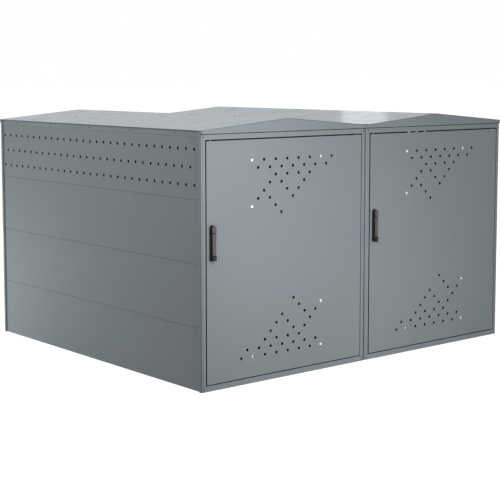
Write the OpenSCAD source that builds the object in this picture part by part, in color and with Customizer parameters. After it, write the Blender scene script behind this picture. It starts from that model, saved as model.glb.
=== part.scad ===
// Two-bay bicycle locker of folded steel sheet.
// Two framed bays stand side by side, each with a vented door, a lever lock and its own gabled roof.
// Origin: centre of the footprint on the ground. Doors face -Y, the roofs rise along +Z.

/* [Bays] */
// Width of one bay
bay_w = 1150; // [1050:10:1300]
// Seam between the two bays, which holds the partition wall
bay_gap = 5; // [4:0.5:8]
// Depth of a bay, from the door face to the back
bay_d = 2026; // [1900:2:2200]
// Height of the frames, from the ground to the foot of the roof
frame_h = 1307; // [1200:1:1450]
// Thickness of the frame, wall and roof sheet
sheet = 2; // [1.5:0.1:2.5]

/* [Frame] */
// Width of a post's front face
post_face = 28; // [26:1:36]
// Depth of the band by which a post wraps round the corner
post_wrap = 22; // [18:1:30]
// Outer radius of a post's corner bend
bend_r = 8.5; // [3:0.5:10]
// Reach of a front post's fixing flange behind the walls
post_flange = 54; // [48:1:56]
// Reach of a rear post's fixing flange behind the walls
rear_flange = 34; // [30:1:34]
// Height of the rail over the door
top_rail_h = 28; // [26:1:40]
// Height of the rail under the door
bottom_rail_h = 30; // [28:1:40]
// Depth of the front rails
rail_d = 45; // [44:1:55]
// Distance of the joint between rail and post from the bay's side
rail_joint = 17; // [14:0.5:20]
// Face width of the rear frame
rear_face = 40; // [36:1:50]

/* [Walls] */
// Number of panels stacked in each side wall
panel_count = 4; // [4:1:4]
// Inset of the side walls from the faces of the posts
wall_inset = 9; // [8:0.5:11]
// Open joint between two stacked panels
panel_joint = 1.2; // [0.8:0.1:2]
// Width of the folds along a panel's long edges
panel_fold = 25; // [20:1:30]
// Diameter of every vent hole
vent_d = 16; // [12:1:18]
// Number of vents in the long rows of the top panel
wall_vents = 29; // [20:1:29]
// Spacing of the wall vents along a row
wall_vent_pitch = 68.5; // [60:0.5:69]
// Spacing of the rows of wall vents
wall_row_pitch = 91; // [70:1:100]
// Shift of the wall vents from the middle of the bay towards the back
wall_vent_shift = 11; // [0:0.5:12]

/* [Roof] */
// Rise from the eave to the ridge
roof_rise = 50.5; // [40:0.5:80]
// Height of the eave above the frames
eave_h = 19.5; // [14:0.5:24]
// Overhang past the posts at the outer sides
side_overhang = 2; // [2:0.1:2.5]
// Overhang at the back
rear_overhang = 12; // [8:1:20]
// Overhang over the doors
front_overhang = 3; // [2.5:0.5:6]
// Depth of the fold that lies on the top panel at each outer eave
drip_fold = 32; // [26:1:40]
// Width of the cap strip over the valley
valley_w = 46; // [40:1:60]

/* [Doors] */
// Thickness of a door over its folded edges
door_t = 26; // [24:1:28]
// Thickness of the door sheet
door_sheet = 1.5; // [1.2:0.1:2]
// Gap at the lock edge
gap_lock = 7; // [6:0.5:8]
// Gap at the hinge edge
gap_hinge = 4; // [4:0.5:6]
// Gap above the door
gap_top = 7; // [6:0.5:9]
// Gap below the door
gap_bottom = 5; // [5:0.5:7]
// Half the spacing of the door vents along a row, and the spacing of the rows
vent_step = 40; // [36:1:42]
// Distance of the hinge pins from the hinge edge
pivot_in = 25; // [24:1:28]
// Distance of the hinge pins behind the door face
pivot_back = 12; // [11:0.5:13]
// Radius of the hinge pins
pivot_r = 5; // [4:0.5:6]
// Distance of the stiffeners from the middle of the door
stiffener_x = 243; // [220:1:260]

/* [Lock] */
// Distance of the lock from the lock edge of the door
lock_in = 33; // [30:1:40]
// Height of the lever's turning axis
lock_z = 836; // [780:1:900]
// Width of the lock's housing
housing_w = 31; // [29:1:36]
// Length of the lock's housing
housing_l = 181; // [175:1:190]
// How far the lock stands proud of the door
lock_proud = 24; // [24:0.5:28]
// Travel of the lock rods in a quarter turn
rod_travel = 18; // [14:1:20]
// Radius of the lock rods
rod_r = 5; // [4:0.5:6]

/* [Base] */
// Width of the wheel channel
channel_w = 64; // [50:1:80]
// Height of the wheel channel
channel_h = 50; // [40:1:60]
// Side of a foot plate
plate_side = 80; // [70:1:100]
// Radius of the anchor holes
anchor_r = 6.5; // [5:0.5:8]

/* [Hidden] */
$fn = 64;

eps = 0.5;                  // overshoot of every cut
running = 0.06;             // radial clearance of turning and sliding fits
rail_gap = 2;               // open joint between the faces of a rail and a post
total_w = 2 * bay_w + bay_gap;
paint = [0.55, 0.58, 0.59];
roof_paint = [0.72, 0.74, 0.76];
steel = [0.75, 0.76, 0.78];
black = [0.10, 0.10, 0.11];
taupe = [0.34, 0.35, 0.35];

// Levels of a bay
panel_h = 326 * frame_h / 1307;
top_rail_z = frame_h - top_rail_h;
eave_z = frame_h + eave_h;
ridge_z = eave_z + roof_rise;
roof_slope = roof_rise / (bay_w / 2 + side_overhang);
roof_angle = atan(roof_slope);

// Door rectangle and its middle
door_x0 = post_face + gap_lock;
door_x1 = bay_w - post_face - gap_hinge;
door_z0 = bottom_rail_h + gap_bottom;
door_z1 = top_rail_z - gap_top;
door_cx = (door_x0 + door_x1) / 2;
door_cz = (door_z0 + door_z1) / 2;
pivot_x = door_x1 - pivot_in;

// Stops behind the door: shallow at the lock edge, deeper where the hinge edge swings in
stop_lock = door_t + 3;
stop_hinge = pivot_back + sqrt(pow(pivot_in, 2) + pow(door_t - pivot_back, 2)) + 1.2;
stop_reach = 14;
lip_h = 15;
lip_x1 = pivot_x - 32;

// Lock stack, measured from the door face: negative is outside
lock_x = door_x0 + lock_in;
plate_t = 10;               // thickness of the housing's plate
lever_gap = 0.8;            // air between the lever and the plate
lever_back = -plate_t - lever_gap;
lever_front = -lock_proud + 1.5;
block_h = 26;               // height of the housing's lower block
housing_z0 = lock_z + housing_w / 2 - housing_l;
cylinder_z = housing_z0 + 15;
fold_z = lock_z - 20;       // height of the lever's fold pin
fold_y = -15;               // depth of the lever's fold pin
fold_r = 2.5;
cam_y = 5;                  // depth of the cam's near face
cam_t = 3;
crank_r = rod_travel / sqrt(2);
crank_pin_r = 3;
yoke_y = cam_y + cam_t + 1;
yoke_t = 3;
rod_y = 12;                 // depth of the rods' axis
tip_gap = 1;                // air between the rod tips and the rails

function bay_x(i) = -total_w / 2 + (i - 1) * (bay_w + bay_gap);
function roof_z(x) = ridge_z - roof_slope * abs(x - bay_w / 2);

// Puts the children in the frame of bay i: x from its left side, y from the door face, z from the ground
module bay(i) {
    translate([bay_x(i), -bay_d / 2, 0]) children();
}

// Keeps or mirrors a left-hand shape to the right side of a bay
module handed(right) {
    if (right) translate([bay_w, 0, 0]) mirror([1, 0, 0]) children();
    else children();
}

module box(x0, x1, y0, y1, z0, z1) {
    translate([x0, y0, z0]) cube([x1 - x0, y1 - y0, z1 - z0]);
}

// Round bar or hole along Z or along Y
module bar_z(x, y, z0, z1, r) {
    translate([x, y, z0]) cylinder(r = r, h = z1 - z0);
}

module bar_y(x, z, y0, y1, r) {
    translate([x, y0, z]) rotate([-90, 0, 0]) cylinder(r = r, h = y1 - y0);
}

module bar_x(y, z, x0, x1, r) {
    translate([x0, y, z]) rotate([0, 90, 0]) cylinder(r = r, h = x1 - x0);
}

// ---- Frames ----

// Folded section of a corner: face, rounded bend, band round the corner and fixing flange
module corner_section(face, flange) {
    translate([bend_r, 0]) square([face - bend_r, sheet]);
    translate([bend_r, bend_r]) difference() {
        circle(bend_r);
        circle(bend_r - sheet);
        translate([0, -2 * bend_r]) square([2 * bend_r, 4 * bend_r]);
        translate([-2 * bend_r, 0]) square([4 * bend_r, 2 * bend_r]);
    }
    translate([0, bend_r]) square([sheet, post_wrap - bend_r]);
    translate([0, post_wrap - sheet]) square([wall_inset + 2 * sheet, sheet]);
    translate([wall_inset + sheet, post_wrap - sheet]) square([sheet, flange - post_wrap + sheet]);
}

// The face is cut back over the rails, whose ends reach to the rail joint
module front_post(right) {
    stop_y = right ? stop_hinge : stop_lock;
    gap = right ? gap_hinge : gap_lock;
    difference() {
        linear_extrude(frame_h) {
            corner_section(post_face, post_flange);
            translate([post_face - sheet, 0]) square([sheet, stop_y]);
        }
        box(rail_joint - rail_gap, post_face + eps, -eps, sheet, -eps, bottom_rail_h);
        box(rail_joint - rail_gap, post_face + eps, -eps, sheet, top_rail_z, frame_h + eps);
    }
    box(post_face - sheet, post_face + gap + stop_reach, stop_y, stop_y + sheet, bottom_rail_h, top_rail_z);
}

module post(i, right) {
    color(paint) bay(i) handed(right) front_post(right);
}

// Holes in a rail for the lock rod and for the hinge bush
module rail_holes(z) {
    bar_z(lock_x, rod_y, z - 5, z + 5, rod_r + 1);
    bar_z(pivot_x, pivot_back, z - 5, z + 5, pivot_r + 3);
}

module top_rail(i) {
    color(paint) bay(i) difference() {
        union() {
            box(rail_joint, bay_w - rail_joint, 0, sheet, top_rail_z, frame_h);
            box(post_face, bay_w - post_face, 0, rail_d, top_rail_z, top_rail_z + sheet);
            box(post_face, bay_w - post_face, rail_d - sheet, rail_d, top_rail_z, frame_h);
            box(post_face + gap_lock + stop_reach, lip_x1, stop_lock, stop_lock + sheet,
                top_rail_z - lip_h, top_rail_z + sheet);
        }
        rail_holes(top_rail_z);
    }
}

module bottom_rail(i) {
    color(paint) bay(i) difference() {
        union() {
            box(rail_joint, bay_w - rail_joint, 0, sheet, 0, bottom_rail_h);
            box(post_face, bay_w - post_face, 0, rail_d, bottom_rail_h - sheet, bottom_rail_h);
            box(post_face, bay_w - post_face, rail_d - sheet, rail_d, 0, bottom_rail_h);
            box(post_face + gap_lock + stop_reach, lip_x1, stop_lock, stop_lock + sheet,
                bottom_rail_h - sheet, bottom_rail_h + lip_h);
        }
        rail_holes(bottom_rail_h);
    }
}

module rear_frame(i) {
    color(paint) bay(i) translate([0, bay_d, 0]) mirror([0, 1, 0]) {
        for (right = [false, true]) handed(right) linear_extrude(frame_h)
            corner_section(rear_face, rear_flange);
        box(rear_face, bay_w - rear_face, 0, sheet, 0, rear_face);
        box(rear_face, bay_w - rear_face, 0, sheet, frame_h - rear_face, frame_h);
        box(rear_face, bay_w - rear_face, 0, rear_face, 0, sheet);
        box(rear_face, bay_w - rear_face, 0, rear_face, frame_h - sheet, frame_h);
    }
}

// ---- Walls ----

module wall_vent_row(z, n) {
    for (k = [0 : n - 1])
        bar_x(bay_d / 2 + wall_vent_shift + (k - (n - 1) / 2) * wall_vent_pitch, z,
              wall_inset - eps, wall_inset + sheet + eps, vent_d / 2);
}

// Panel n of a side wall, counted from the ground. The top one is vented.
module wall_panel(n) {
    z0 = (n - 1) * panel_h;
    z1 = n * panel_h - panel_joint;
    y0 = post_wrap + 0.5;
    fold_y0 = post_flange + 2;
    mid = (z0 + z1) / 2;
    difference() {
        union() {
            box(wall_inset, wall_inset + sheet, y0, bay_d - y0, z0, z1);
            for (z = [z0, z1 - sheet])
                box(wall_inset, wall_inset + panel_fold, fold_y0, bay_d - fold_y0, z, z + sheet);
        }
        if (n == panel_count) for (row = [-1, 0, 1])
            wall_vent_row(mid + row * wall_row_pitch, row == 0 ? wall_vents - 1 : wall_vents);
    }
}

module side_panel(right, n) {
    color(paint) bay(right ? 2 : 1) handed(right) wall_panel(n);
}

// Plain sheet in the seam, thickened where the posts clamp it
module partition_wall() {
    edge = 14;
    color(paint) translate([0, -bay_d / 2, 0]) {
        box(-sheet / 2, sheet / 2, edge, bay_d - edge, 0, frame_h - sheet);
        for (y = [edge, bay_d - edge - 12])
            box(-bay_gap / 2, bay_gap / 2, y, y + 12, 0, frame_h - sheet);
    }
}

module rear_wall(i) {
    cover = 20;
    color(paint) bay(i)
        box(cover, bay_w - cover, bay_d - 2 * sheet, bay_d - sheet, cover, frame_h - cover);
}

// ---- Roof ----

// Outline of the band between the roof's top surface and a parallel surface below it, from x0 to x1
module roof_band(x0, x1, top, bottom) {
    mid = bay_w / 2;
    polygon([
        [x0, roof_z(x0) - top], [mid, ridge_z - top], [x1, roof_z(x1) - top],
        [x1, roof_z(x1) - bottom], [mid, ridge_z - bottom], [x0, roof_z(x0) - bottom]
    ]);
}

// Stands an outline drawn in X and Z up, with its thickness from y0 to y1
module upright(y0, y1) {
    translate([0, y1, 0]) rotate([90, 0, 0]) linear_extrude(y1 - y0) children();
}

roof_y0 = -front_overhang;
roof_y1 = bay_d + rear_overhang;
rib_rows = [415, 800, 1185, 1570];
rib_w = 36;
rib_h = 14;
roof_in = bay_w + 1;        // where the roof ends at the seam

module gable_roof() {
    fold_end = post_wrap + 1;
    upright(roof_y0, roof_y1) roof_band(-side_overhang, roof_in, 0, sheet);
    box(wall_inset - sheet, wall_inset, fold_end, bay_d - fold_end, eave_z - drip_fold, eave_z);
    for (y = rib_rows)
        upright(y - rib_w / 2, y + rib_w / 2) roof_band(40, bay_w - 40, sheet / 2, sheet + rib_h);
}

module roof_sheet(i) {
    color(roof_paint) bay(i) handed(i == 2) gable_roof();
}

// Gable plate under the roof's edge, with a fold that rests on the frame and a return over the corner post
module fascia_plate(overhang) {
    under = sheet + 0.02;
    corner_z = roof_z(0) - under;
    upright(-overhang, sheet - overhang) polygon([
        [0, frame_h], [roof_in, frame_h], [roof_in, roof_z(roof_in) - under],
        [bay_w / 2, ridge_z - under], [0, corner_z]
    ]);
    box(post_face, bay_w - post_face, -overhang, 30, frame_h, frame_h + sheet);
    box(0, sheet, -overhang, post_wrap, frame_h, corner_z);
    box(0, wall_inset + 2 * sheet, post_wrap - sheet, post_wrap, frame_h, corner_z);
}

module front_fascia(i) {
    color(paint) bay(i) handed(i == 2) fascia_plate(front_overhang);
}

module rear_fascia(i) {
    color(paint) bay(i) handed(i == 2) translate([0, bay_d, 0]) mirror([0, 1, 0]) fascia_plate(rear_overhang);
}

module valley_cap() {
    z = roof_z(bay_w - valley_w / 2 + bay_gap / 2) + 0.1;
    color(roof_paint) translate([0, -bay_d / 2, 0])
        box(-valley_w / 2, valley_w / 2, roof_y0, roof_y1, z, z + 1.5);
}

// ---- Base ----

module wheel_channel(i) {
    mid = bay_w / 2;
    lip = 8;
    color(steel) bay(i) {
        box(mid - channel_w / 2, mid + channel_w / 2, rail_d, bay_d - rear_face, 0, sheet);
        for (side = [-1, 1]) {
            wall_x = mid + side * (channel_w / 2 - sheet / 2);
            box(wall_x - sheet / 2, wall_x + sheet / 2, rail_d, bay_d - rear_face, 0, channel_h);
            box(wall_x - (side < 0 ? lip : sheet / 2), wall_x + (side > 0 ? lip : sheet / 2),
                rail_d, bay_d - rear_face, channel_h - sheet, channel_h);
        }
    }
}

plate_x = panel_fold + wall_inset + 2;
plate_t2 = 5;

module foot_plate(y) {
    difference() {
        box(plate_x, plate_x + plate_side, y, y + plate_side, 0, plate_t2);
        bar_z(plate_x + plate_side / 2, y + plate_side / 2, -eps, plate_t2 + eps, anchor_r);
    }
}

module foot_plates() {
    color(steel) for (i = [1, 2]) bay(i) for (right = [false, true]) handed(right) {
        foot_plate(rail_d);
        foot_plate(bay_d - rear_face - plate_side);
    }
}

// ---- Doors ----

// Places of the door vents: [row, columns] counted from the pattern's upper left corner, in steps
vent_rows = [
    [0, 2, 4, 6, 8, 10, 12, 14], [1, 3, 5, 7, 9, 11, 13], [4, 6, 8, 10], [3, 5, 9],
    [2, 6, 8], [1, 3, 7], [0, 4], [5]
];
vent_left = -243.5;         // first column, from the middle of the door
vent_top = 512.7;           // first row, from the middle of the door

module vent_pattern() {
    for (row = [0 : len(vent_rows) - 1]) for (column = vent_rows[row])
        bar_y(vent_left + column * vent_step, vent_top - row * vent_step, -eps, door_sheet + eps, vent_d / 2);
}

module door_pan() {
    lip = 15;
    s = door_sheet;
    difference() {
        box(door_x0, door_x1, 0, door_t, door_z0, door_z1);
        box(door_x0 + s, door_x1 - s, s, door_t - s, door_z0 + s, door_z1 - s);
        box(door_x0 + lip, door_x1 - lip, s, door_t + eps, door_z0 + lip, door_z1 - lip);
        translate([door_cx, 0, door_cz]) for (turn = [0, 180]) rotate([0, turn, 0]) vent_pattern();
        bar_y(lock_x, lock_z, -eps, s + eps, 7);
        for (z = [door_z0, door_z1]) {
            bar_z(lock_x, rod_y, z - 3, z + 3, rod_r + 1);
            bar_z(pivot_x, pivot_back, z - 3, z + 3, pivot_r + running);
        }
    }
}

module door(i) {
    color(paint) bay(i) door_pan();
}

// Channel sections with their webs against the back of the door sheet
module door_stiffeners(i) {
    w = 17;
    h = 20;
    s = door_sheet;
    color("white") bay(i) for (side = [-1, 1]) translate([door_cx + side * stiffener_x, 0, 0]) {
        box(-w / 2, w / 2, s, 2 * s, door_z0 + 2 * s, door_z1 - 2 * s);
        for (x = [-w / 2, w / 2 - s]) box(x, x + s, s, s + h, door_z0 + 2 * s, door_z1 - 2 * s);
    }
}

// Low domed head standing on a face, along the outward direction +Z of its own frame
module rivet_head(r, h) {
    cylinder(r1 = r, r2 = 0.6 * r, h = h);
}

rivet_levels = [-538, -286, -28, 0, 32, 288, 543];

module stiffener_rivets(i) {
    color(paint) bay(i) for (side = [-1, 1]) for (level = rivet_levels)
        translate([door_cx + side * stiffener_x, 0, door_cz + level]) rotate([90, 0, 0]) rivet_head(3.5, 0.6);
}

// Shouldered pins: the head sits inside the door's edge fold, the shank runs in the rail's bush
module hinge_pins(i) {
    s = door_sheet;
    head = 9;
    color(steel) bay(i) {
        bar_z(pivot_x, pivot_back, door_z1 - s - head, door_z1 - s, pivot_r + 4);
        bar_z(pivot_x, pivot_back, door_z1 - s, top_rail_z + 5, pivot_r);
        bar_z(pivot_x, pivot_back, door_z0 + s, door_z0 + s + head, pivot_r + 4);
        bar_z(pivot_x, pivot_back, bottom_rail_h - 6, door_z0 + s, pivot_r);
    }
}

module flanged_bush(flange_t) {
    difference() {
        union() {
            bar_z(0, 0, 0, flange_t, pivot_r + 6);
            bar_z(0, 0, -sheet - 2, 0, pivot_r + 3);
        }
        bar_z(0, 0, -sheet - 3, flange_t + 1, pivot_r + running);
    }
}

module hinge_bushes() {
    color("ivory") for (i = [1, 2]) bay(i) {
        translate([pivot_x, pivot_back, bottom_rail_h]) flanged_bush(gap_bottom - 0.3);
        translate([pivot_x, pivot_back, top_rail_z]) mirror([0, 0, 1]) flanged_bush(3);
    }
}

// ---- Locks ----

module stadium(w, z0, z1) {
    translate([-w / 2, z0]) square([w, z1 - z0]);
    translate([0, z1]) circle(w / 2);
}

module handle_housing(i) {
    color(black) bay(i) translate([lock_x, 0, 0]) difference() {
        union() {
            upright(-plate_t, 0) stadium(housing_w, housing_z0, lock_z);
            upright(-lock_proud, 0) translate([-12.5, housing_z0]) square([25, block_h]);
        }
        bar_y(0, lock_z, -lock_proud - eps, eps, 6 + running);
        bar_y(0, cylinder_z, -lock_proud - eps, -6, 6 + running);
    }
}

// Disc with a neck over the ears, fork lug with the fold pin, and the spindle that runs through the door
module handle_hub(i) {
    color(taupe) bay(i) translate([lock_x, 0, 0]) {
        bar_y(0, lock_z, lever_front, lever_back, 13);
        box(-12.5, 12.5, lever_front, lever_front + 2.5, fold_z - 3.5, lock_z);
        bar_y(0, lock_z, lever_back - 1, cam_y, 6);
        box(-6, 6, lever_front + 1, lever_back, fold_z - 3.5, lock_z);
        bar_x(fold_y, fold_z, -12, 12, fold_r);
    }
}

module handle_lever(i) {
    ear_r = 4.2;
    tip_z = housing_z0 + block_h + 3;
    color(taupe) bay(i) translate([lock_x, 0, 0]) difference() {
        union() {
            // ears round the fold pin
            for (side = [-1, 1]) bar_x(fold_y, fold_z, side * 9.5 - 3, side * 9.5 + 3, ear_r);
            for (side = [-1, 1]) box(side * 9.5 - 3, side * 9.5 + 3, fold_y - 1, fold_y + ear_r,
                                     fold_z - 12, fold_z);
            // grip: wide by the thumb, slimmer below
            upright(lever_front, lever_back) polygon([
                [-12.5, fold_z - 8], [-12.5, fold_z - 28], [-11, fold_z - 36], [-11, tip_z],
                [11, tip_z], [11, fold_z - 36], [12.5, fold_z - 28], [12.5, fold_z - 8]
            ]);
        }
        bar_x(fold_y, fold_z, -14, 14, fold_r + running);
    }
}

module lock_cylinder(i) {
    color(steel) bay(i) translate([lock_x, 0, 0]) difference() {
        bar_y(0, cylinder_z, -lock_proud - 0.5, -7, 6);
        box(-0.8, 0.8, -lock_proud - 2, -lock_proud + 4, cylinder_z - 3.5, cylinder_z + 3.5);
    }
}

// Cam on the spindle with two crank pins, 45 degrees above and below the level at rest
module lock_cam(i) {
    a = crank_r / sqrt(2);
    color(steel) bay(i) translate([lock_x, 0, lock_z]) {
        bar_y(0, 0, cam_y, cam_y + cam_t, crank_r + 4.5);
        for (side = [-1, 1]) bar_y(-side * a, side * a, cam_y + cam_t, yoke_y + yoke_t + 1, crank_pin_r);
    }
}

// Rod with a slotted yoke, drawn for the upper rod with the spindle at the origin
module rod_with_yoke(z_end) {
    a = crank_r / sqrt(2);
    mid = (a + crank_r) / 2;
    half = (crank_r - a) / 2 + crank_pin_r + 0.6;
    slot_h = crank_pin_r + 0.6;
    difference() {
        union() {
            box(-20, -3, yoke_y, yoke_y + yoke_t, a - 8, a + 12);
            box(-20, 2, yoke_y, yoke_y + yoke_t, a + 12, a + 40);
            bar_z(0, rod_y, 24 + rod_travel, z_end, rod_r);
        }
        box(-mid - half, -mid + half, yoke_y - eps, yoke_y + yoke_t + eps, a - slot_h, a + slot_h);
    }
}

module upper_rod(i) {
    color(steel) bay(i) translate([lock_x, 0, lock_z])
        rod_with_yoke(top_rail_z - tip_gap - lock_z);
}

module lower_rod(i) {
    color(steel) bay(i) translate([lock_x, 0, lock_z]) rotate([0, 180, 0])
        rod_with_yoke(lock_z - bottom_rail_h - tip_gap);
}

module rod_guides(i) {
    color(steel) bay(i) for (z = [140, 480, 740, 920, 1200]) difference() {
        box(lock_x - 12, lock_x + 12, door_sheet, rod_y + rod_r + 4, z - 5, z + 5);
        bar_z(lock_x, rod_y, z - 6, z + 6, rod_r + running);
    }
}

// ---- Fasteners, buffers and clips ----

// Rivets near the top of each wall panel at both ends
module wall_rivets() {
    color(paint) for (right = [false, true]) bay(right ? 2 : 1) handed(right)
        for (n = [1 : panel_count - 1]) for (y = [post_flange - 5, bay_d - rear_flange + 5])
            translate([wall_inset, y, n * panel_h - 26]) rotate([0, -90, 0]) rivet_head(4, 1.2);
}

// Pan-head screws along each outer eave, and rivets over the roof ribs
module roof_fasteners() {
    color(steel) for (i = [1, 2]) bay(i) handed(i == 2) {
        for (k = [0 : 4]) translate([wall_inset - sheet, 222.5 + k * 403.7, frame_h])
            rotate([0, -90, 0]) rivet_head(5.5, 2.5);
        for (y = rib_rows) for (x = [265, 553])
            translate([x, y, roof_z(x) + 0.02]) rotate([0, -roof_angle, 0]) rivet_head(4, 1.4);
        for (y = rib_rows) for (x = [597, 885])
            translate([x, y, roof_z(x) + 0.02]) rotate([0, roof_angle, 0]) rivet_head(4, 1.4);
    }
}

module door_buffers() {
    color(black) for (i = [1, 2]) bay(i) for (z = [200, 653, 1100])
        bar_y(post_face + gap_lock + 7, z, door_t + 0.2, stop_lock, 6);
}

// Clips under the top rail of the second bay, in the gap above the door
module gap_clips() {
    color(steel) bay(2) for (k = [-1, 0, 1])
        box(door_cx - 158 + k * 66.5 - 5, door_cx - 158 + k * 66.5 + 5, 4, 14, door_z1 + 1.5, top_rail_z);
}

post(1, false);  // post_front_left_1
post(1, true);  // post_front_right_1
post(2, false);  // post_front_left_2
post(2, true);  // post_front_right_2
top_rail(1);  // top_rail_1
top_rail(2);  // top_rail_2
bottom_rail(1);  // bottom_rail_1
bottom_rail(2);  // bottom_rail_2
rear_frame(1);  // rear_frame_1
rear_frame(2);  // rear_frame_2
side_panel(false, 1);  // side_panel_left_1
side_panel(false, 2);  // side_panel_left_2
side_panel(false, 3);  // side_panel_left_3
side_panel(false, 4);  // side_panel_left_4
side_panel(true, 1);  // side_panel_right_1
side_panel(true, 2);  // side_panel_right_2
side_panel(true, 3);  // side_panel_right_3
side_panel(true, 4);  // side_panel_right_4
partition_wall();
rear_wall(1);  // rear_wall_1
rear_wall(2);  // rear_wall_2
roof_sheet(1);  // roof_sheet_1
roof_sheet(2);  // roof_sheet_2
front_fascia(1);  // front_fascia_1
front_fascia(2);  // front_fascia_2
rear_fascia(1);  // rear_fascia_1
rear_fascia(2);  // rear_fascia_2
valley_cap();
wheel_channel(1);  // wheel_channel_1
wheel_channel(2);  // wheel_channel_2
foot_plates();
door(1);  // door_1
door(2);  // door_2
door_stiffeners(1);  // door_stiffeners_1
door_stiffeners(2);  // door_stiffeners_2
stiffener_rivets(1);  // stiffener_rivets_1
stiffener_rivets(2);  // stiffener_rivets_2
hinge_pins(1);  // hinge_pins_1
hinge_pins(2);  // hinge_pins_2
hinge_bushes();
handle_housing(1);  // handle_housing_1
handle_housing(2);  // handle_housing_2
handle_hub(1);  // handle_hub_1
handle_hub(2);  // handle_hub_2
handle_lever(1);  // handle_lever_1
handle_lever(2);  // handle_lever_2
lock_cylinder(1);  // lock_cylinder_1
lock_cylinder(2);  // lock_cylinder_2
lock_cam(1);  // lock_cam_1
lock_cam(2);  // lock_cam_2
upper_rod(1);  // upper_rod_1
upper_rod(2);  // upper_rod_2
lower_rod(1);  // lower_rod_1
lower_rod(2);  // lower_rod_2
rod_guides(1);  // rod_guides_1
rod_guides(2);  // rod_guides_2
wall_rivets();
roof_fasteners();
door_buffers();
gap_clips();
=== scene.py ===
"""Two-bay bicycle locker: materials, fittings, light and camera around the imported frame."""

import math

import bmesh
import bpy
from mathutils import Matrix, Vector


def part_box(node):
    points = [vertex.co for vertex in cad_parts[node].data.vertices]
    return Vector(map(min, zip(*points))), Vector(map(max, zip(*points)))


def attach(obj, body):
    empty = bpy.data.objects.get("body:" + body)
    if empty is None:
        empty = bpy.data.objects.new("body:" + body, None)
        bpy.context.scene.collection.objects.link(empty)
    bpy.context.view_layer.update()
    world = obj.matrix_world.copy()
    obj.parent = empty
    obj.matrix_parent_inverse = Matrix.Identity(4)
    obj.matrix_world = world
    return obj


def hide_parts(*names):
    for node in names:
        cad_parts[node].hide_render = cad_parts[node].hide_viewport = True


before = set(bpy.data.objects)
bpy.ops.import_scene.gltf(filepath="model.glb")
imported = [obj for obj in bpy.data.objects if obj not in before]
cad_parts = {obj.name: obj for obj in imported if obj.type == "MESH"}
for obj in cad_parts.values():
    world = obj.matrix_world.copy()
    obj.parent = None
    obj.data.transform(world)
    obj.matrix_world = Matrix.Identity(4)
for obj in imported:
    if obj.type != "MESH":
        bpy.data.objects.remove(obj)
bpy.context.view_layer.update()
scene = bpy.context.scene


# ---- Dimensions shared by the materials and the added pieces ----

MM = 0.001
BAY_W, GAP = 1150 * MM, 5 * MM
LEFT = [-BAY_W - GAP / 2, GAP / 2]      # left side of each bay
BAY_SIDE = BAY_W + GAP / 2              # from the middle plane to the outer side of a bay
FRAME_TOP = 1307 * MM
RAIL_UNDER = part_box("top_rail_1")[1][2] - 28 * MM   # underside of the rail over a door
RAIL_TOP = 30 * MM                                  # top of the rail under a door
ROOF_RISE, ROOF_HALF = 50.5 * MM, BAY_W / 2 + 2 * MM
ROOF_SLOPE = ROOF_RISE / ROOF_HALF
BAY_CENTRE_Z = 0.65
WALL_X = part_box("side_panel_right_1")[1][0]
FACE_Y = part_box("door_1")[0][1]
BACK_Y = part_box("rear_frame_1")[1][1]


# ---- Camera ----

def make_camera():
    """Long lens from the left front, a little above the roof, level horizon."""
    data = bpy.data.cameras.new("camera")
    data.sensor_width = 36
    data.lens = 90.577
    data.shift_y = -0.0977
    cam = bpy.data.objects.new("camera", data)
    cam.location = (-4.9525, -5.9472, 1.6069)
    cam.rotation_euler = (math.radians(90 - 5.7877), 0, math.radians(-39.8465))
    scene.collection.objects.link(cam)
    scene.camera = cam


make_camera()
scene.view_settings.view_transform = "Standard"


# ---- Material helpers ----

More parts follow.
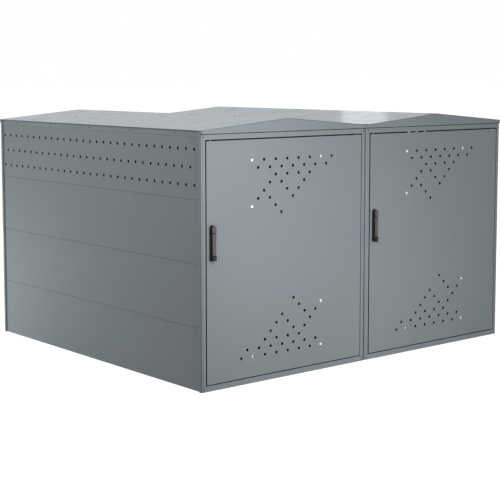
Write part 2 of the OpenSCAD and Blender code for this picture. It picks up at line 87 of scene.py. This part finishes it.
class Shader:
    """A node material under construction."""

    def __init__(self, name):
        self.material = bpy.data.materials.new(name)
        self.material.use_nodes = True
        self.tree = self.material.node_tree
        self.tree.nodes.clear()
        self.out = self.add("ShaderNodeOutputMaterial")
        self.bsdf = self.add("ShaderNodeBsdfPrincipled")
        self.link(self.bsdf.outputs[0], self.out.inputs["Surface"])
        self.place = self.add("ShaderNodeTexCoord").outputs["Object"]

    def add(self, kind, **settings):
        made = self.tree.nodes.new(kind)
        for key, value in settings.items():
            setattr(made, key, value)
        return made

    def link(self, source, target):
        self.tree.links.new(source, target)

    def feed(self, socket, value):
        if isinstance(value, bpy.types.NodeSocket):
            self.link(value, socket)
        elif isinstance(value, (tuple, list)) and len(value) == 3 and socket.type == "RGBA":
            socket.default_value = (*value, 1)
        else:
            socket.default_value = value

    def set(self, **values):
        for key, value in values.items():
            self.feed(self.bsdf.inputs[key.replace("_", " ")], value)

    def noise(self, scale, detail=2.0, rough=0.5):
        made = self.add("ShaderNodeTexNoise")
        self.link(self.place, made.inputs["Vector"])
        made.inputs["Scale"].default_value = scale
        made.inputs["Detail"].default_value = detail
        made.inputs["Roughness"].default_value = rough
        return made.outputs["Fac"]

    def cells(self, scale, output="Distance"):
        made = self.add("ShaderNodeTexVoronoi")
        self.link(self.place, made.inputs["Vector"])
        made.inputs["Scale"].default_value = scale
        return made.outputs[output]

    def span(self, value, low, high, to_low=0.0, to_high=1.0):
        made = self.add("ShaderNodeMapRange")
        self.feed(made.inputs["Value"], value)
        for key, number in zip(("From Min", "From Max", "To Min", "To Max"), (low, high, to_low, to_high)):
            made.inputs[key].default_value = number
        return made.outputs["Result"]

    def math(self, operation, a, b=0.0, clamp=False):
        made = self.add("ShaderNodeMath", operation=operation, use_clamp=clamp)
        self.feed(made.inputs[0], a)
        self.feed(made.inputs[1], b)
        return made.outputs[0]

    def mix(self, factor, a, b):
        made = self.add("ShaderNodeMix", data_type="RGBA")
        self.feed(made.inputs["Factor"], factor)
        self.feed(made.inputs[6], a)
        self.feed(made.inputs[7], b)
        return made.outputs[2]

    def axis(self, letter):
        made = self.add("ShaderNodeSeparateXYZ")
        self.link(self.place, made.inputs[0])
        return made.outputs[letter]

    def shade_masks(self):
        """Two masks for painted shade: the faces that look into the bays, and the cut sides of holes and
        edges in the side and door sheets.
        """
        normal = self.add("ShaderNodeTexCoord").outputs["Normal"]
        facing_axes = self.add("ShaderNodeSeparateXYZ")
        self.link(normal, facing_axes.inputs[0])
        across = self.math("ABSOLUTE", self.axis("X"))
        arm = self.add("ShaderNodeVectorMath", operation="SUBTRACT")
        self.link(self.place, arm.inputs[0])
        arm.inputs[1].default_value = (0, 0, BAY_CENTRE_Z)
        dot = self.add("ShaderNodeVectorMath", operation="DOT_PRODUCT")
        self.link(arm.outputs[0], dot.inputs[0])
        self.link(normal, dot.inputs[1])
        into_bay_shade = self.math("LESS_THAN", dot.outputs["Value"], 4 * MM)
        into_bay_shade = self.math("MULTIPLY", into_bay_shade, self.math("LESS_THAN", across, WALL_X - 0.5 * MM))
        hole_shade = []
        wall_sheet = (across, WALL_X - 1 * MM, "X")
        door_sheet = (self.axis("Y"), FACE_Y + 0.8 * MM, "Y")
        for place, middle, letter in (wall_sheet, door_sheet):
            distance = self.math("ABSOLUTE", self.math("SUBTRACT", place, middle))
            near = self.math("LESS_THAN", distance, 0.7 * MM)
            side = self.math("LESS_THAN", self.math("ABSOLUTE", facing_axes.outputs[letter]), 0.5)
            hole_shade.append(self.math("MULTIPLY", near, side))
        return into_bay_shade, self.math("MAXIMUM", *hole_shade)

    def bend_shade(self):
        """Mask for painted shade on the rounded front corners of the outer posts."""
        outside = self.math("GREATER_THAN", self.math("ABSOLUTE", self.axis("X")), WALL_X + 6 * MM)
        return self.math("MULTIPLY", outside, self.math("LESS_THAN", self.axis("Y"), FACE_Y + 7 * MM))

    def bump(self, height, distance, strength=1.0, normal=None):
        made = self.add("ShaderNodeBump")
        self.feed(made.inputs["Height"], height)
        made.inputs["Distance"].default_value = distance
        made.inputs["Strength"].default_value = strength
        if normal:
            self.link(normal, made.inputs["Normal"])
        return made.outputs[0]

    def edges(self, radius):
        """1 along sharp edges, fading out over the radius."""
        round_normal = self.add("ShaderNodeBevel", samples=4)
        round_normal.inputs["Radius"].default_value = radius
        geometry = self.add("ShaderNodeNewGeometry")
        dot = self.add("ShaderNodeVectorMath", operation="DOT_PRODUCT")
        self.link(round_normal.outputs[0], dot.inputs[0])
        self.link(geometry.outputs["Normal"], dot.inputs[1])
        return self.span(dot.outputs["Value"], 0.99, 0.80)


def srgb(*levels):
    """Linear colour of 8-bit display levels."""
    parts = [level / 255 for level in levels]
    return tuple(v / 12.92 if v <= 0.04045 else ((v + 0.055) / 1.055) ** 2.4 for v in parts)


def shade(colour, factor):
    return tuple(min(1, c * factor) for c in colour)


# ---- Materials ----

PAINT = srgb(120, 128, 132)
ROOF_PAINT = srgb(121, 129, 133)
BLACK = (0.014, 0.014, 0.015)


def powder_coat(name, colour, rough=0.42, dust=0.0, wear=0.25, shade_in_bays=None, sag=1.0):
    """Sprayed powder paint on folded sheet; a shade factor for the bays, when given, paints shade: faces
    that look into the bays take that share of the colour, cut sides of holes and sheet edges a tenth, and
    the rounded front corners of the outer posts 0.72.
    """
    s = Shader(name)
    clouds = s.noise(1.7, 3)
    fine = s.noise(620, 1)
    tone = s.mix(s.span(clouds, 0.3, 0.7), shade(colour, 0.975), shade(colour, 1.025))
    tone = s.mix(s.span(fine, 0.35, 0.65, 0, 0.30), tone, shade(colour, 1.10))
    low_down = s.span(s.axis("Z"), 0.16, 0.0)
    grime = s.math("MULTIPLY", low_down, s.span(s.noise(9, 4), 0.35, 0.75), clamp=True)
    tone = s.mix(s.math("MULTIPLY", grime, 0.25), tone, shade(colour, 0.72))
    if dust:
        settled = s.span(s.noise(5, 5, 0.6), 0.40, 0.75, 0, dust)
        tone = s.mix(settled, tone, (0.62, 0.61, 0.58))
    worn = s.math("MULTIPLY", s.edges(1.6 * MM), s.span(s.noise(38, 4), 0.48, 0.72), clamp=True)
    tone = s.mix(s.math("MULTIPLY", worn, wear), tone, shade(colour, 1.9))
    if shade_in_bays is not None:
        # Painted shade on the faces that look into the bays
        into_bay_shade, hole_shade = s.shade_masks()
        tone = s.mix(into_bay_shade, tone, shade(colour, shade_in_bays))
        # Painted shade: the cut sides of holes and sheet edges turn nearly black
        tone = s.mix(hole_shade, tone, shade(colour, 0.1))
        # Painted shade along the rounded front corners of the outer posts
        tone = s.mix(s.bend_shade(), tone, shade(colour, 0.72))
    s.set(Base_Color=tone, Roughness=s.span(s.noise(6, 4), 0.3, 0.7, rough - 0.04, rough + 0.05))
    waves = s.bump(s.noise(2.6, 1), sag * MM, 0.5)
    peel = s.bump(s.noise(430, 2), 0.05 * MM, 0.6 * min(1, sag + 0.1), waves)
    s.set(Normal=peel)
    s.bsdf.inputs["Specular IOR Level"].default_value = 0.5
    return s.material


def galvanised(name, colour, rough):
    """Zinc coating with its crystal pattern."""
    s = Shader(name)
    tint = s.add("ShaderNodeRGBToBW")
    s.link(s.cells(95, "Color"), tint.inputs[0])
    tone = s.mix(s.span(tint.outputs[0], 0.1, 0.9), shade(colour, 0.78), shade(colour, 1.12))
    tone = s.mix(s.span(s.noise(14, 5), 0.5, 0.8, 0, 0.35), tone, (0.62, 0.62, 0.60))
    s.set(Base_Color=tone, Roughness=s.span(tint.outputs[0], 0, 1, rough - 0.1, rough + 0.12))
    s.set(Normal=s.bump(s.noise(260, 3), 0.03 * MM, 0.6))
    s.bsdf.inputs["Metallic"].default_value = 0.85
    return s.material


def moulded(name, colour, rough=0.5, speckle=0.12, core=None):
    """Moulded plastic with a fine grain; behind the core depth, measured in Y, it turns black."""
    s = Shader(name)
    tone = s.mix(s.span(s.noise(24, 3), 0.3, 0.7), shade(colour, 0.9), shade(colour, 1.12))
    scuff = s.math("MULTIPLY", s.edges(1.0 * MM), s.span(s.noise(120, 4), 0.45, 0.7), clamp=True)
    tone = s.mix(s.math("MULTIPLY", scuff, speckle), tone, shade(colour, 3.0))
    if core is not None:
        tone = s.mix(s.math("GREATER_THAN", s.axis("Y"), core), tone, BLACK)
    s.set(Base_Color=tone, Roughness=s.span(s.noise(70, 3), 0.3, 0.7, rough - 0.06, rough + 0.08))
    s.set(Normal=s.bump(s.cells(1500), 0.04 * MM, 0.5))
    return s.material


def bright_steel(name, colour, rough):
    """Turned or plated steel."""
    s = Shader(name)
    tone = s.mix(s.span(s.noise(160, 3), 0.3, 0.7), shade(colour, 0.85), shade(colour, 1.1))
    s.set(Base_Color=tone, Roughness=s.span(s.noise(300, 3), 0.3, 0.7, rough - 0.07, rough + 0.1))
    s.set(Normal=s.bump(s.noise(900, 2), 0.01 * MM, 0.5))
    s.bsdf.inputs["Metallic"].default_value = 1.0
    return s.material


MATERIALS = {
    # Both painted sheets paint shade on their faces into the bays at 0.42 of their colour
    "painted_sheet": powder_coat("painted_sheet", PAINT, shade_in_bays=0.42),
    "roof_sheet": powder_coat("roof_sheet", ROOF_PAINT, rough=0.13, dust=0.03, shade_in_bays=0.42, sag=0.02),
    "zinc_steel": galvanised("zinc_steel", (0.56, 0.57, 0.58), rough=0.42),
    "white_sheet": powder_coat("white_sheet", (0.86, 0.87, 0.88), rough=0.35, wear=0.0),
    "black_plastic": moulded("black_plastic", BLACK),
    "lever_plastic": moulded("lever_plastic", (0.080, 0.078, 0.076), core=FACE_Y - 19.5 * MM),
    "lock_metal": bright_steel("lock_metal", (0.10, 0.10, 0.10), rough=0.45),
    "rubber": moulded("rubber", (0.010, 0.010, 0.010), rough=0.85, speckle=0.05),
    "nylon": moulded("nylon", (0.62, 0.60, 0.55), rough=0.45),
    "bright_screws": bright_steel("bright_screws", (0.45, 0.45, 0.46), rough=0.35),
    # Lighter copy of the paint: a painted highlight for the stiffener rivets
    "rivet_highlight_paint": powder_coat("rivet_highlight_paint", shade(PAINT, 1.22)),
    # Darker copy of the paint: painted shade for the wall rivets
    "rivet_shade_paint": powder_coat("rivet_shade_paint", shade(PAINT, 0.85)),
    "dark_rivets": bright_steel("dark_rivets", (0.07, 0.075, 0.08), rough=0.5),
}


# ---- CAD nodes: folded edges and materials ----

# Width of the rounded edges in mm, by the start of the node's name
ROUNDED = {"door_1": 0.2, "door_2": 0.2, "post": 0.5, "roof_sheet": 0, "valley_cap": 0,
           "front_fascia": 0.5, "side_panel": 0.1, "handle_h": 1.6, "handle_lever": 2.2}
ROUNDED_OTHERS = 0.3
ROUNDED_ANGLE = math.radians(35)
SHARP_ANGLE = math.radians(40)


def round_edges(obj, width):
    """Small bevels on a CAD node, or plain flat faces where the width is 0."""
    if "custom_normal" in obj.data.attributes:
        obj.data.attributes.remove(obj.data.attributes["custom_normal"])
    weld = obj.modifiers.new("weld", "WELD")
    weld.merge_threshold = 1e-6
    if not width:
        obj.data.shade_flat()
        return
    bevel = obj.modifiers.new("bevel", "BEVEL")
    bevel.width = width
    bevel.segments = 2
    bevel.limit_method = "ANGLE"
    bevel.angle_limit = ROUNDED_ANGLE
    bevel.use_clamp_overlap = True
    bevel.miter_outer = "MITER_SHARP"


for name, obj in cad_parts.items():
    slot = obj.material_slots[0].name.split(".")[0]
    obj.data.materials.clear()
    # The stiffener rivets take the lighter copy of the paint, a painted highlight
    obj.data.materials.append(MATERIALS["rivet_highlight_paint" if name.startswith("stiffener_rivets") else slot])
    width = next((w for start, w in ROUNDED.items() if name.startswith(start)), ROUNDED_OTHERS)
    round_edges(obj, width * MM)


# ---- Added pieces ----

def piece(name, bm, body, slot, *materials):
    """Turns mesh code into a named piece that rides on a body."""
    bmesh.ops.recalc_face_normals(bm, faces=bm.faces)
    mesh = bpy.data.meshes.new(name)
    bm.to_mesh(mesh)
    bm.free()
    for material in materials or [slot]:
        mesh.materials.append(MATERIALS[material])
    mesh.shade_smooth()
    mesh.set_sharp_from_angle(angle=SHARP_ANGLE)
    obj = bpy.data.objects.new(name, mesh)
    scene.collection.objects.link(obj)
    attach(obj, body)
    return obj


STRIP_STEPS = 8


def add_strip(bm, start, end, out, width, height):
    """Rubber strip with a flat base along a line and a rounded back, raised along out; these black strips
    paint shade in the gaps and seams.
    """
    start, end, out = Vector(start), Vector(end), Vector(out)
    across = (end - start).normalized().cross(out)
    rings = []
    for place in (start, end):
        ring = []
        for k in range(STRIP_STEPS + 1):
            a = math.pi * k / STRIP_STEPS
            lift = 0.45 + 0.55 * math.sin(a)
            offset = across * (width / 2 * math.cos(a)) + out * (height * lift)
            ring.append(bm.verts.new(place + offset))
        ring.append(bm.verts.new(place - across * (width / 2)))
        ring.append(bm.verts.new(place + across * (width / 2)))
        rings.append(ring)
    first, last = rings
    n = len(first)
    for k in range(n):
        bm.faces.new((first[k], first[(k + 1) % n], last[(k + 1) % n], last[k]))
    bm.faces.new(first)
    bm.faces.new(list(reversed(last)))


def add_lathe(bm, profile, matrix, steps, material=0):
    """Turns (radius, height) points round the matrix's Z axis."""
    rings = []
    for r, h in profile:
        if r == 0:
            rings.append([bm.verts.new(matrix @ Vector((0, 0, h)))])
        else:
            turns = [2 * math.pi * k / steps for k in range(steps)]
            points = [Vector((r * math.cos(t), r * math.sin(t), h)) for t in turns]
            rings.append([bm.verts.new(matrix @ point) for point in points])
    for a, b in zip(rings, rings[1:]):
        for k in range(steps):
            j = (k + 1) % steps
            corners = [a[k % len(a)], a[j % len(a)], b[j % len(b)], b[k % len(b)]]
            face = bm.faces.new(list(dict.fromkeys(corners)))
            face.material_index = material


def facing(location, direction):
    """Matrix whose Z axis points along the direction."""
    turn = Vector(direction).to_track_quat("Z", "Y").to_matrix().to_4x4()
    return Matrix.Translation(Vector(location)) @ turn


UP, DOWN, LEFTWARD, FORWARD = (0, 0, 1), (0, 0, -1), (-1, 0, 0), (0, -1, 0)
# Sizes of the black rubber strips that paint shade in the door gaps
FRAME_SHADE_SEAL_W, EDGE_SHADE_SEAL_W, STOP_W, SIDE_SHADE_SEAL_W = 24 * MM, 23.6 * MM, 14 * MM, 26 * MM
THIN, FULL, STOP_H = 0.8 * MM, 1.0 * MM, 2.2 * MM
CLEAR = 1 * MM                          # room at a strip's free end


def gap_rubber_shade(i):
    """Black rubber strips in the gaps round a door, fixed to the frame and along the door's lock edge,
    which paint the shade in the gaps black.
    """
    x0 = LEFT[i - 1]
    lo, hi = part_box(f"door_{i}")
    rod, pin = lo[0] + 33 * MM, hi[0] - 25 * MM

    bm = bmesh.new()
    y = FACE_Y + 13 * MM
    for a, b in ((lo[0] + CLEAR, rod - 5.5 * MM), (rod + 5.5 * MM, pin - 14 * MM)):
        add_strip(bm, (a, y, RAIL_UNDER), (b, y, RAIL_UNDER), DOWN, FRAME_SHADE_SEAL_W, FULL)
        add_strip(bm, (a, y, RAIL_TOP), (b, y, RAIL_TOP), UP, FRAME_SHADE_SEAL_W, THIN)
    y = FACE_Y + 29 * MM
    a, b = x0 + 50 * MM, pin - 33 * MM
    for z in (RAIL_UNDER - 7.5 * MM, RAIL_TOP + 7.5 * MM):
        add_strip(bm, (a, y, z), (b, y, z), FORWARD, STOP_W, STOP_H)
    x, y = x0 + BAY_W - 28 * MM, FACE_Y + 15 * MM
    add_strip(bm, (x, y, RAIL_TOP + 2 * MM), (x, y, RAIL_UNDER - 2 * MM), LEFTWARD, SIDE_SHADE_SEAL_W, THIN)
    piece(f"gap_seal_shade_{i}", bm, "locker", "rubber")

    bm = bmesh.new()
    x, y = lo[0], FACE_Y + 12.4 * MM
    add_strip(bm, (x, y, lo[2] + CLEAR), (x, y, hi[2] - CLEAR), LEFTWARD, EDGE_SHADE_SEAL_W, FULL)
    for a, b in ((lo[0] + CLEAR, rod - 6 * MM), (rod + 6 * MM, pin - 12 * MM)):
        add_strip(bm, (a, y, hi[2]), (b, y, hi[2]), UP, EDGE_SHADE_SEAL_W, THIN)
    piece(f"door_edge_seal_shade_{i}", bm, f"door_leaf_{i}", "rubber")


def add_plate(bm, outline, y0, y1):
    """Plate with an outline in X and Z and its thickness from y0 to y1."""
    front, back = [[bm.verts.new((x, y, z)) for x, z in outline] for y in (y0, y1)]
    n = len(outline)
    bm.faces.new(front)
    bm.faces.new(list(reversed(back)))
    for k in range(n):
        bm.faces.new((front[k], back[k], back[(k + 1) % n], front[(k + 1) % n]))


def gable_rubber_shade(i):
    """Black strips at the foot of the gable plate and under the roof's front edge, which paint the shadow
    lines there.
    """
    (x0, y0, _), (x1, _, ridge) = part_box(f"roof_sheet_{i}")
    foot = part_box(f"front_fascia_{i}")[0][2]
    middle = LEFT[i - 1] + BAY_W / 2
    x0, x1 = x0 + 2 * MM, x1 - 2 * MM
    low, high = foot - 1.6 * MM, foot + 1.6 * MM
    bm = bmesh.new()
    add_plate(bm, [(x0, low), (x1, low), (x1, high), (x0, high)], y0 - 0.4 * MM, y0)
    add_plate(bm, [(x0, low), (x1, low), (x1, foot), (x0, foot)], y0, FACE_Y)
    top = [(x, ridge - ROOF_SLOPE * abs(x - middle) - 2.05 * MM) for x in (x0, middle, x1)]
    under = [(x, z - 0.9 * MM) for x, z in reversed(top)]
    add_plate(bm, top + under, y0 - 0.3 * MM, y0)
    piece(f"gable_seal_shade_{i}", bm, "locker", "rubber")


def seam_seal_shade():
    """Bulb seal in the seam between the bays, front and back; its black paints the shade in the seam."""
    bm = bmesh.new()
    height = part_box("partition_wall")[1][2]
    for y, out in ((FACE_Y + 14 * MM, -1), (BACK_Y - 14 * MM, 1)):
        add_strip(bm, (0, y, 0), (0, y, height), (0, out, 0), 4.8 * MM, 8.5 * MM)
    piece("seam_seal_shade", bm, "locker", "rubber")


# Heads of the fixings: (radius, height) in mm, from the middle of the head to its base
SCREW = [(0, 1.2), (2.0, 1.2), (2.0, 2.5), (3.4, 2.4), (4.7, 1.7), (5.4, 0.7), (5.5, 0.0), (0, 0.0)]
ROOF_RIVET = [(0, 1.4), (1.0, 1.35), (2.2, 1.05), (3.3, 0.5), (4.0, 0.0), (0, 0.0)]
WALL_RIVET = [(0, 1.2), (0.9, 1.15), (2.0, 0.9), (3.1, 0.45), (3.8, 0.0), (0, 0.0)]
SCREW_STEPS, RIVET_STEPS = 24, 20

# Rows of fixings in mm, measured from the doors' faces or from a bay's left side and the ground
EAVE_SCREWS = [222.5 + 403.7 * k for k in range(5)]
RIB_ROWS, RIB_COLUMNS = (415, 800, 1185, 1570), (-310, -22, 22, 310)
WALL_RIVETS_Z = [326 * k - 26 for k in (1, 2, 3)]
REAR_ROWS, REAR_COLUMNS = (30, 1277), (30, 1120)
REAR_ALONG = [30 + 109 * k for k in range(11)]
REAR_UP = [30 + 155.9 * k for k in range(1, 8)]


def scaled(profile):
    return [(r * MM, h * MM) for r, h in profile]


def roof_fixings():
    """Socket screws along the eaves and dark rivets over the roof ribs."""
    bm = bmesh.new()
    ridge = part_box("roof_sheet_1")[1][2]
    for side in (-1, 1):
        for y in EAVE_SCREWS:
            place = (side * (BAY_SIDE - 7 * MM), FACE_Y + y * MM, FRAME_TOP)
            add_lathe(bm, scaled(SCREW), facing(place, (side, 0, 0)), SCREW_STEPS, 0)
        middle = side * (BAY_W + GAP) / 2
        for y in RIB_ROWS:
            for x in RIB_COLUMNS:
                place = (middle + x * MM, FACE_Y + y * MM, ridge - ROOF_SLOPE * abs(x * MM))
                tilt = (ROOF_SLOPE if x > 0 else -ROOF_SLOPE, 0, 1)
                add_lathe(bm, scaled(ROOF_RIVET), facing(place, tilt), RIVET_STEPS, 1)
    fixings = piece("roof_fixings", bm, "locker", "bright_screws", "bright_screws", "dark_rivets")
    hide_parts("roof_fasteners")


def wall_fixings():
    """Painted blind rivets at the ends of the wall panels."""
    bm = bmesh.new()
    for side in (-1, 1):
        x = side * (BAY_SIDE - 9 * MM)
        for z in WALL_RIVETS_Z:
            for y in (FACE_Y + 49 * MM, BACK_Y - 29 * MM):
                add_lathe(bm, scaled(WALL_RIVET), facing((x, y, z * MM), (side, 0, 0)), RIVET_STEPS)
    # Second slot is the darker copy of the paint, painted shade; the rivets' faces use the first slot
    fixings = piece("wall_fixings", bm, "locker", "painted_sheet", "rivet_shade_paint")
    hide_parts("wall_rivets")


def rear_fixings():
    """Blind rivets that hold each rear wall to its frame."""
    bm = bmesh.new()
    spots = [(x, z) for x in REAR_ALONG for z in REAR_ROWS]
    spots += [(x, z) for z in REAR_UP for x in REAR_COLUMNS]
    for x0 in LEFT:
        for x, z in spots:
            add_lathe(bm, scaled(WALL_RIVET), facing((x0 + x * MM, BACK_Y, z * MM), (0, 1, 0)), RIVET_STEPS)
    piece("rear_fixings", bm, "locker", "painted_sheet")


for bay_number in (1, 2):
    gap_rubber_shade(bay_number)
    gable_rubber_shade(bay_number)
seam_seal_shade()
roof_fixings()
wall_fixings()
rear_fixings()


# ---- Floor, backdrop, light ----

def stage_mesh(name, corners, **visible):
    """One face of the studio, which some kinds of rays may pass through."""
    mesh = bpy.data.meshes.new(name)
    mesh.from_pydata(corners, [], [range(len(corners))])
    obj = bpy.data.objects.new(name, mesh)
    for ray, on in visible.items():
        setattr(obj, f"visible_{ray}", on)
    scene.collection.objects.link(obj)
    return obj


def rectangle(half_x, half_y, z):
    return [(-half_x, -half_y, z), (half_x, -half_y, z), (half_x, half_y, z), (-half_x, half_y, z)]


def make_floor():
    """Pale studio floor, and the dark patch of it that the locker covers, which paints the shade in the
    bays.
    """
    floor = stage_mesh("floor", rectangle(200, 200, -0.4 * MM), diffuse=False, glossy=False)
    s = Shader("floor")
    tone = s.mix(s.span(s.noise(0.6, 3), 0.3, 0.7), (0.30, 0.30, 0.30), (0.33, 0.33, 0.33))
    paper = s.add("ShaderNodeBsdfDiffuse")
    s.feed(paper.inputs["Color"], tone)
    glow = s.add("ShaderNodeEmission")
    glow.inputs["Strength"].default_value = 0.93
    both = s.add("ShaderNodeAddShader")
    s.link(paper.outputs[0], both.inputs[0])
    s.link(glow.outputs[0], both.inputs[1])
    s.link(both.outputs[0], s.out.inputs["Surface"])
    floor.data.materials.append(s.material)
    patch = stage_mesh("floor_shade_patch", rectangle(1140 * MM, 1004 * MM, -0.2 * MM))
    s = Shader("floor_shade_patch")
    # Near-black colour: painted shade on the floor under the locker
    s.set(Base_Color=s.mix(s.span(s.noise(3, 3), 0.3, 0.7), (0.05, 0.05, 0.05), (0.06, 0.06, 0.06)))
    s.bsdf.inputs["Roughness"].default_value = 0.9
    patch.data.materials.append(s.material)


SHEEN_COLOUR = (0.80, 0.91, 1.0)


def area_light(name, location, target, size, power, only=None):
    """Rectangular soft light; one for gloss alone is slightly blue."""
    data = bpy.data.lights.new(name, "AREA")
    data.shape = "RECTANGLE"
    data.size, data.size_y = size
    data.energy = power
    obj = bpy.data.objects.new(name, data)
    obj.location = location
    obj.rotation_mode = "QUATERNION"
    obj.rotation_quaternion = (Vector(target) - Vector(location)).to_track_quat("-Z", "Y")
    obj.visible_camera = False
    if only == "glossy":
        data.color = SHEEN_COLOUR
    obj.visible_glossy = only != "diffuse"
    obj.visible_diffuse = only != "glossy"
    scene.collection.objects.link(obj)


def make_world(sky, ground):
    """Plain white as a backdrop, with a weaker soft light from above and from below."""
    world = bpy.data.worlds.new("studio")
    world.use_nodes = True
    tree = world.node_tree
    background = tree.nodes["Background"]
    background.inputs["Color"].default_value = (1, 1, 1, 1)
    place = tree.nodes.new("ShaderNodeTexCoord")
    split = tree.nodes.new("ShaderNodeSeparateXYZ")
    ramp = tree.nodes.new("ShaderNodeMapRange")
    tree.links.new(place.outputs["Generated"], split.inputs[0])
    tree.links.new(split.outputs["Z"], ramp.inputs["Value"])
    for key, number in (("From Min", -0.15), ("From Max", 0.15), ("To Min", ground), ("To Max", sky)):
        ramp.inputs[key].default_value = number
    seen = tree.nodes.new("ShaderNodeMath")
    seen.operation = "MAXIMUM"
    tree.links.new(ramp.outputs["Result"], seen.inputs[0])
    tree.links.new(tree.nodes.new("ShaderNodeLightPath").outputs["Is Camera Ray"], seen.inputs[1])
    tree.links.new(seen.outputs[0], background.inputs["Strength"])
    scene.world = world


SKY, GROUND = 0.4, 0.385
# Name, place and target in metres, size in metres, power in watts, and the only rays that it serves
LIGHTS = [
    ("front", (-0.4, -4.5, 1.2), (-0.4, -1, 0.6), (1.4, 1.2), 29),
    ("front_close", (-1.2, -2.4, 1.6), (-1.0, -1, 1.0), (0.5, 1.0), 19.5, "diffuse"),
    ("front_low", (0.1, -2.4, 0.35), (0.0, -1, 0.3), (0.9, 0.5), 7.8, "diffuse"),
    ("left", (-3.0, 0.0, 2.6), (-1.15, 0, 1.2), (2, 1), 30, "diffuse"),
    ("left_low", (-2.2, 1.5, 0.25), (-1.15, 1.0, 0.2), (1.2, 0.4), 13.5, "diffuse"),
    ("right_low", (5.5, -0.3, 0.9), (1.15, 0, 0.7), (2.5, 1), 75),
    ("back_low", (0.4, 6.0, 0.9), (0, 1, 0.7), (2.5, 1), 90),
    ("top", (0, 0, 6), (0, 0, 1.3), (4, 4), 12, "diffuse"),
    ("back", (2.2, 5.5, 3.4), (0.3, 0, 1.3), (3, 2), 16, "diffuse"),
    ("back_wide", (7.0, 10.0, 3.3), (0.3, 0, 1.3), (7.5, 3.5), 28, "glossy"),
    ("back_strip", (9.0, 8.2, 3.3), (0.3, 0, 1.3), (0.70, 2.4), 2.6, "glossy"),
]

make_floor()
make_world(SKY, GROUND)
for light in LIGHTS:
    area_light(*light)
